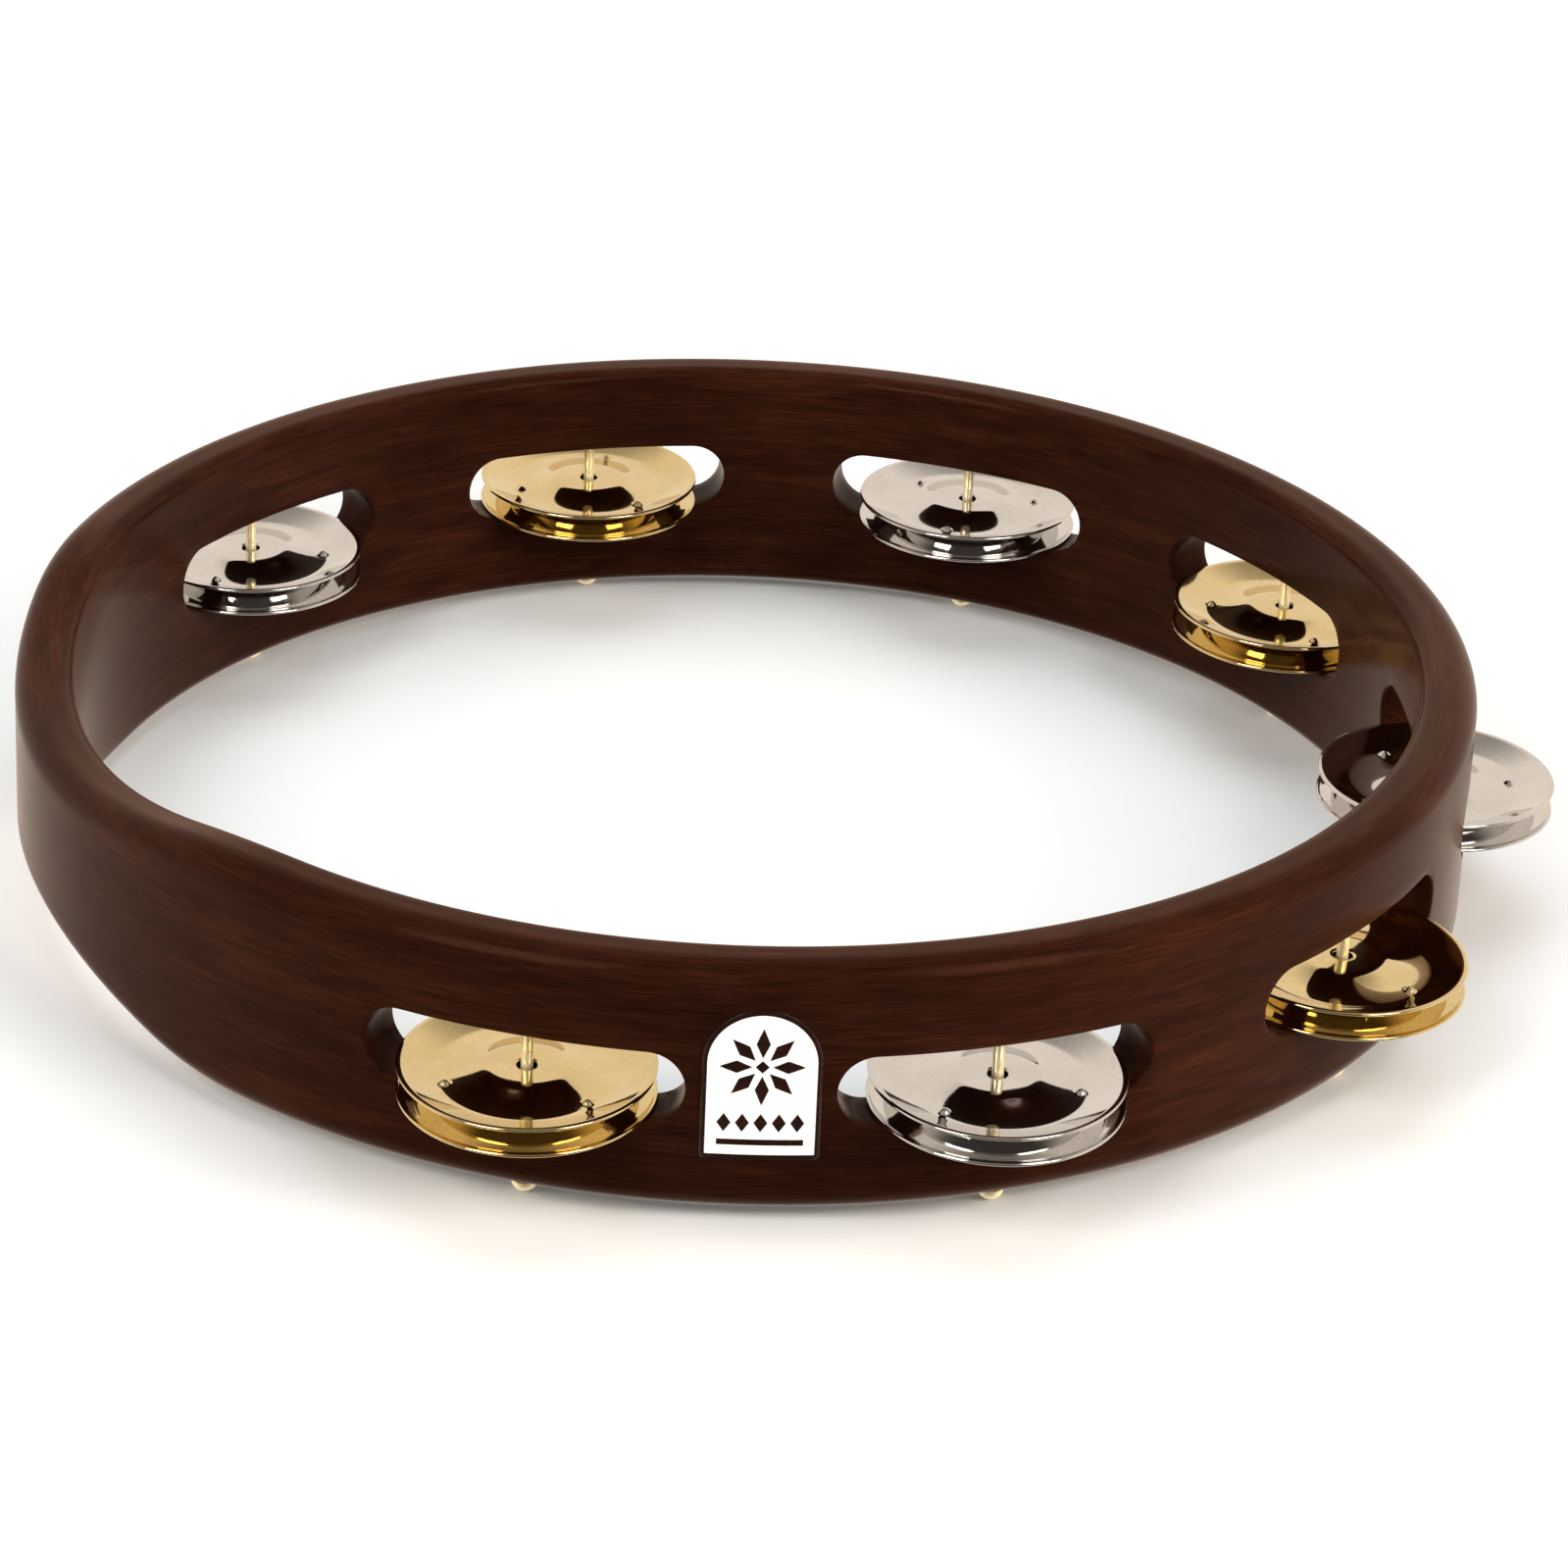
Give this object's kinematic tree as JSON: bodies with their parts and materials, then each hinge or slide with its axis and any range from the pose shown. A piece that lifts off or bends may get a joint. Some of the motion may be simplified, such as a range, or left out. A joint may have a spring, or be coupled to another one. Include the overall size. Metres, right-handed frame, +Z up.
{
  "type": "tambourine",
  "caption": "Headless hand percussion hoop of bent wood, scooped at the grip, with pairs of loose metal jingles on pins in its slots.",
  "frame": {"origin": "on the hoop's axis, on the surface that the pin heads stand on", "axes": "+Z up along the hoop's axis; the hand grip is on -X"},
  "size_m": [0.2642, 0.2854, 0.0462],
  "materials": {
    "frame_wood": "dark red-brown stain under satin lacquer",
    "jingle_brass": "polished stamped sheet",
    "jingle_steel": "polished plated sheet",
    "pin_metal": "bright pale plated wire",
    "badge_print": "printed vinyl"
  },
  "bodies": {
    "frame": {"wood_frame": "frame_wood", "jingle_pin_1": "pin_metal", "jingle_pin_2": "pin_metal", "jingle_pin_3": "pin_metal", "jingle_pin_4": "pin_metal", "jingle_pin_5": "pin_metal", "jingle_pin_6": "pin_metal", "jingle_pin_7": "pin_metal", "jingle_pin_8": "pin_metal", "rim_badge": "badge_print"},
    "lower_jingle_1": {"lower_jingle_1": "jingle_brass"},
    "upper_jingle_1": {"upper_jingle_1": "jingle_brass"},
    "lower_jingle_2": {"lower_jingle_2": "jingle_steel"},
    "upper_jingle_2": {"upper_jingle_2": "jingle_steel"},
    "lower_jingle_3": {"lower_jingle_3": "jingle_brass"},
    "upper_jingle_3": {"upper_jingle_3": "jingle_brass"},
    "lower_jingle_4": {"lower_jingle_4": "jingle_steel"},
    "upper_jingle_4": {"upper_jingle_4": "jingle_steel"},
    "lower_jingle_5": {"lower_jingle_5": "jingle_brass"},
    "upper_jingle_5": {"upper_jingle_5": "jingle_brass"},
    "lower_jingle_6": {"lower_jingle_6": "jingle_steel"},
    "upper_jingle_6": {"upper_jingle_6": "jingle_steel"},
    "lower_jingle_7": {"lower_jingle_7": "jingle_brass"},
    "upper_jingle_7": {"upper_jingle_7": "jingle_brass"},
    "lower_jingle_8": {"lower_jingle_8": "jingle_steel"},
    "upper_jingle_8": {"upper_jingle_8": "jingle_steel"}
  },
  "joints": [
    {"name": "lower_lift_1", "type": "slide", "parent": "frame", "child": "lower_jingle_1", "axis": [0, 0, 1], "range_m": [0, 0.0033]},
    {"name": "upper_lift_1", "type": "slide", "parent": "lower_jingle_1", "child": "upper_jingle_1", "axis": [0, 0, 1], "range_m": [0, 0.0033]},
    {"name": "lower_lift_2", "type": "slide", "parent": "frame", "child": "lower_jingle_2", "axis": [0, 0, 1], "range_m": [0, 0.0031]},
    {"name": "upper_lift_2", "type": "slide", "parent": "lower_jingle_2", "child": "upper_jingle_2", "axis": [0, 0, 1], "range_m": [0, 0.0031]},
    {"name": "lower_lift_3", "type": "slide", "parent": "frame", "child": "lower_jingle_3", "axis": [0, 0, 1], "range_m": [0, 0.0031]},
    {"name": "upper_lift_3", "type": "slide", "parent": "lower_jingle_3", "child": "upper_jingle_3", "axis": [0, 0, 1], "range_m": [0, 0.0031]},
    {"name": "lower_lift_4", "type": "slide", "parent": "frame", "child": "lower_jingle_4", "axis": [0, 0, 1], "range_m": [0, 0.0035]},
    {"name": "upper_lift_4", "type": "slide", "parent": "lower_jingle_4", "child": "upper_jingle_4", "axis": [0, 0, 1], "range_m": [0, 0.0035]},
    {"name": "lower_lift_5", "type": "slide", "parent": "frame", "child": "lower_jingle_5", "axis": [0, 0, 1], "range_m": [0, 0.0033]},
    {"name": "upper_lift_5", "type": "slide", "parent": "lower_jingle_5", "child": "upper_jingle_5", "axis": [0, 0, 1], "range_m": [0, 0.0033]},
    {"name": "lower_lift_6", "type": "slide", "parent": "frame", "child": "lower_jingle_6", "axis": [0, 0, 1], "range_m": [0, 0.0035]},
    {"name": "upper_lift_6", "type": "slide", "parent": "lower_jingle_6", "child": "upper_jingle_6", "axis": [0, 0, 1], "range_m": [0, 0.0035]},
    {"name": "lower_lift_7", "type": "slide", "parent": "frame", "child": "lower_jingle_7", "axis": [0, 0, 1], "range_m": [0, 0.0035]},
    {"name": "upper_lift_7", "type": "slide", "parent": "lower_jingle_7", "child": "upper_jingle_7", "axis": [0, 0, 1], "range_m": [0, 0.0035]},
    {"name": "lower_lift_8", "type": "slide", "parent": "frame", "child": "lower_jingle_8", "axis": [0, 0, 1], "range_m": [0, 0.0035]},
    {"name": "upper_lift_8", "type": "slide", "parent": "lower_jingle_8", "child": "upper_jingle_8", "axis": [0, 0, 1], "range_m": [0, 0.0035]}
  ]
}
